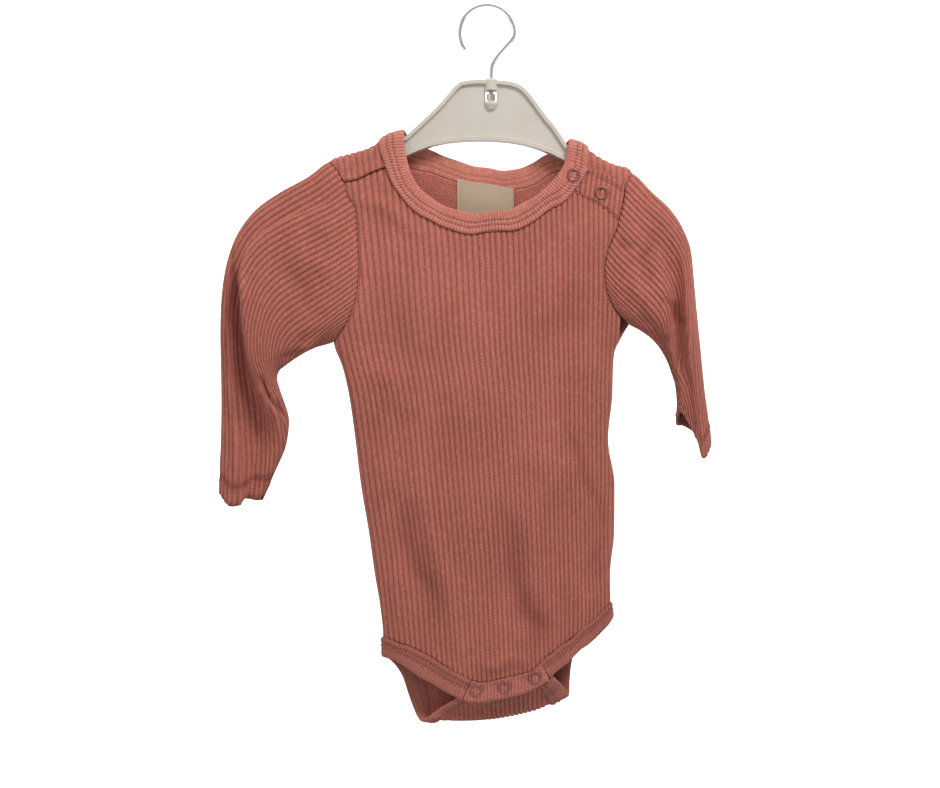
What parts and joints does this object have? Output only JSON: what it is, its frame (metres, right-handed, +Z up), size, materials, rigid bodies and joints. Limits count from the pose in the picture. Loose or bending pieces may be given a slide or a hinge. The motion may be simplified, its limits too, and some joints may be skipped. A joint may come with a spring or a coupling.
{
  "type": "baby bodysuit on a hanger",
  "caption": "Long-sleeved rib-knit baby bodysuit in old-rose pink with a bound neck, shoulder placket and snap crotch, hanging on a moulded plastic child's hanger with a wire hook.",
  "frame": {"origin": "inside top of the hook, where a rail or peg carries it", "axes": "+Z up, the garment's front faces -Y, +X is the viewer's right as one faces the front"},
  "size_m": [0.3526, 0.0372, 0.5132],
  "materials": {
    "rib_knit": "old-rose cotton rib knit",
    "rib_band": "old-rose fine rib binding, cover-stitched",
    "label_tape": "plain beige woven tape",
    "snap_enamel": "matching enamel",
    "hanger_plastic": "off-white moulded",
    "hook_wire": "bright plated wire"
  },
  "bodies": {
    "root": {"front": "rib_knit", "back": "rib_knit", "sleeve_left": "rib_knit", "sleeve_right": "rib_knit", "neckband": "rib_band", "shoulder_placket": "rib_knit", "leg_band_left": "rib_band", "leg_band_right": "rib_band", "crotch_strip": "rib_band", "neck_label": "label_tape", "snap_shoulder_1": "snap_enamel", "snap_shoulder_2": "snap_enamel", "snap_crotch_1": "snap_enamel", "snap_crotch_2": "snap_enamel", "snap_crotch_3": "snap_enamel", "hanger_body": "hanger_plastic", "hanger_hook": "hook_wire"}
  },
  "joints": []
}
